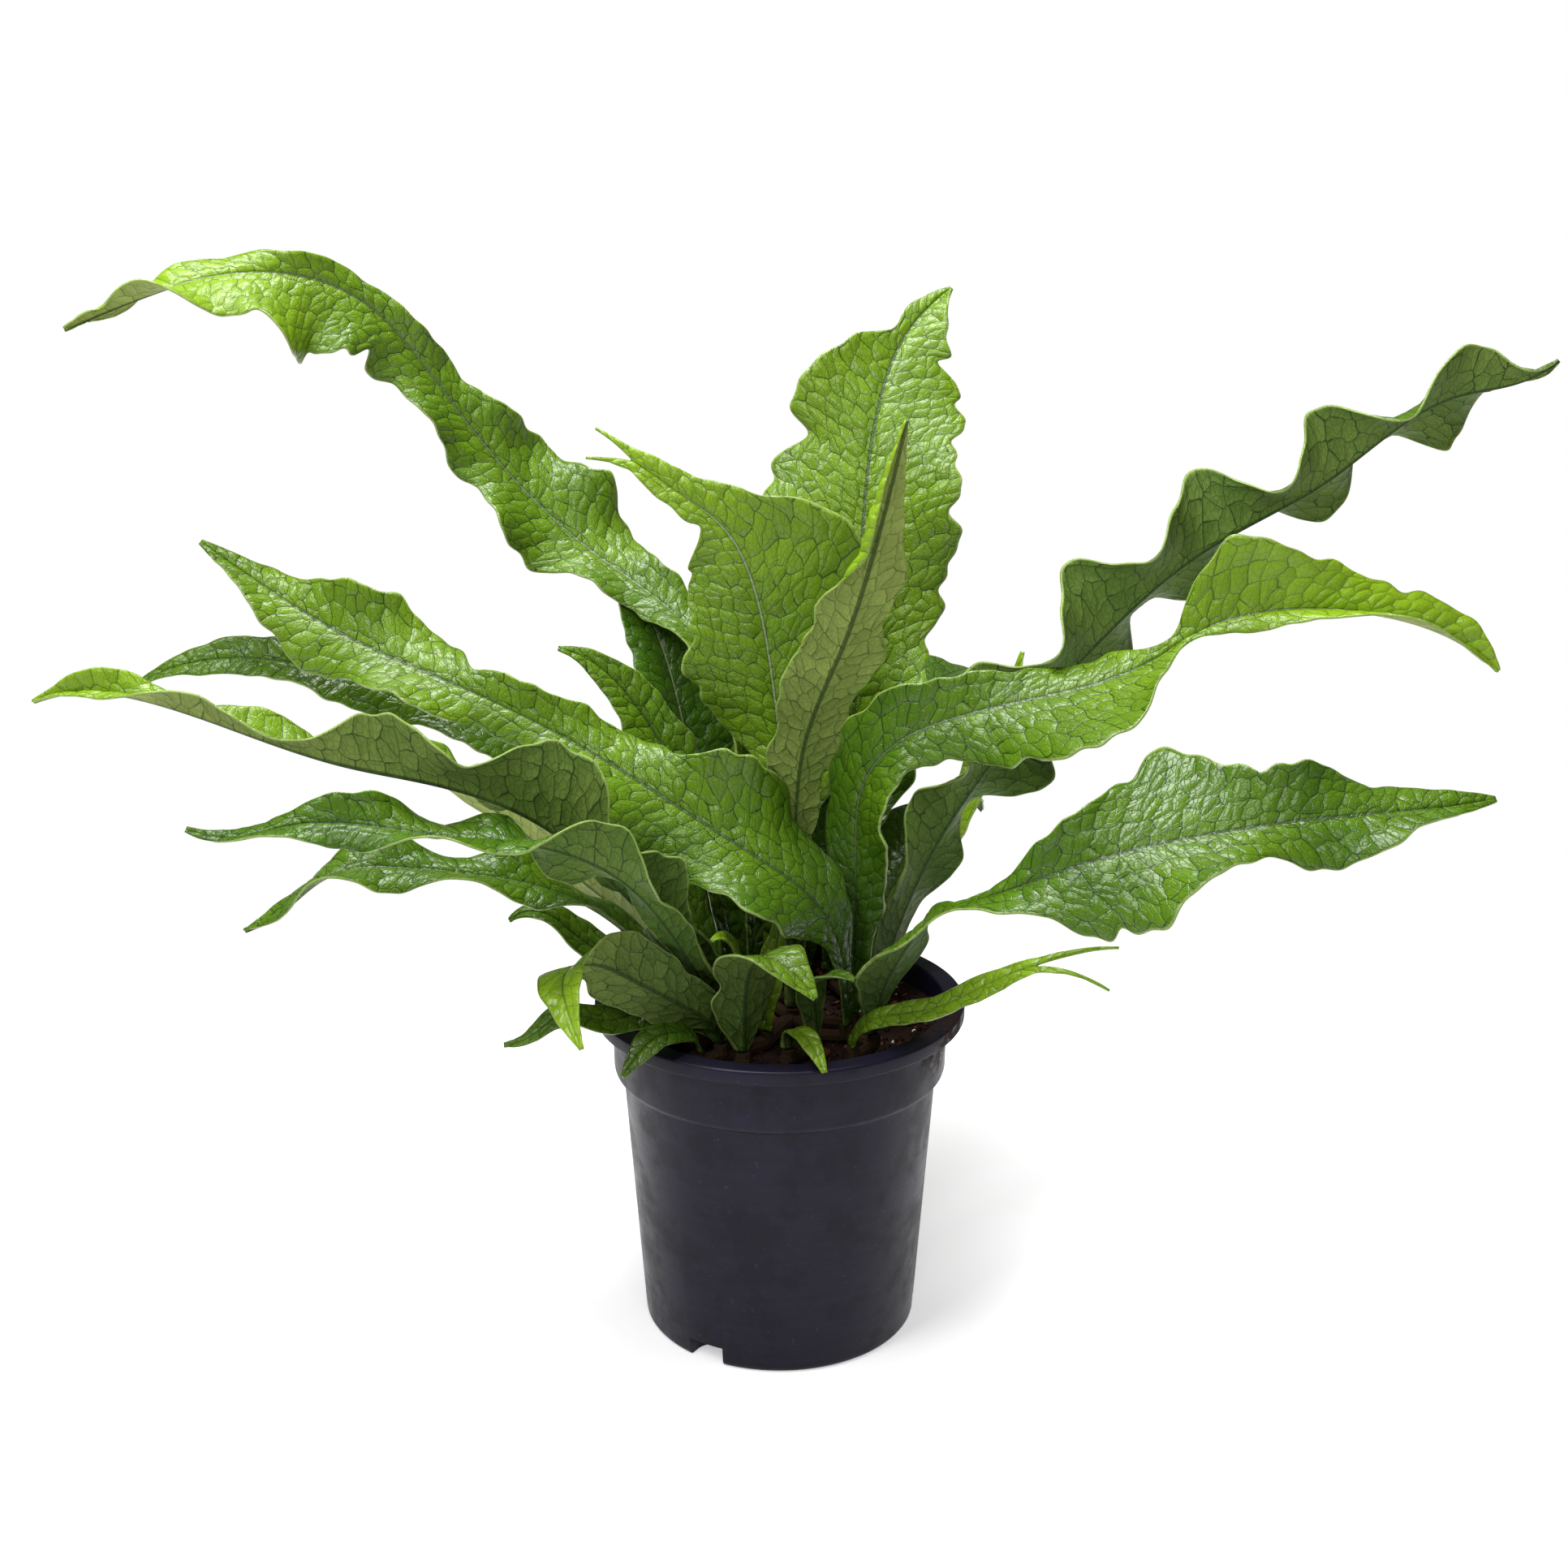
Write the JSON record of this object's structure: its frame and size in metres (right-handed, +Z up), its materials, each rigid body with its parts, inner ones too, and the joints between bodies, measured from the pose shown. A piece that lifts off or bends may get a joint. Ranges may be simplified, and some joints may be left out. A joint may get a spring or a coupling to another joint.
{
  "type": "potted crocodile fern",
  "caption": "Crocodile fern with long ruffled, scaly-patterned fronds spreading from a round plastic nursery pot of soil.",
  "frame": {"origin": "centre of the pot's flat base, on the surface that it stands on", "axes": "+Z up along the pot's axis, +X along the plant's widest spread, -Y towards the side that the plant is seen from"},
  "size_m": [0.6255, 0.4039, 0.4887],
  "materials": {
    "pot_plastic": "bluish-black moulded plastic, satin, with faint scuffs and dust",
    "potting_soil": "loose dark peat with brown crumbs and a few pale grains",
    "rhizome_skin": "brown, dull, covered in papery scales",
    "frond": "thick leathery green blade, glossy above and matt grey-green below, with a netted crocodile pattern of dark veins"
  },
  "bodies": {
    "root": {"nursery_pot": "pot_plastic", "soil": "potting_soil", "rhizome": "rhizome_skin", "frond_upper_left": "frond", "frond_left_broad": "frond", "frond_left_long": "frond", "frond_left_behind": "frond", "frond_left_pale": "frond", "frond_left_dark": "frond", "frond_low_left": "frond", "frond_low_left_curl": "frond", "frond_dark_curl": "frond", "frond_rim_lime": "frond", "frond_rim_curl": "frond", "frond_rim_sprig": "frond", "frond_front_fold": "frond", "frond_front_strip": "frond", "frond_front_small": "frond", "frond_rim_forked": "frond", "frond_right_broad": "frond", "frond_right_lime": "frond", "frond_upper_right": "frond", "frond_back_right_young": "frond", "frond_top_tall": "frond", "frond_top_forked": "frond", "frond_centre_pale": "frond", "frond_centre_left": "frond", "frond_centre_left_small": "frond", "frond_inner_young": "frond", "frond_inner_pale": "frond", "frond_core_left": "frond", "frond_core_right": "frond", "frond_back_left": "frond", "frond_back_centre": "frond", "frond_back_right": "frond", "frond_back_low_right": "frond"}
  },
  "joints": []
}
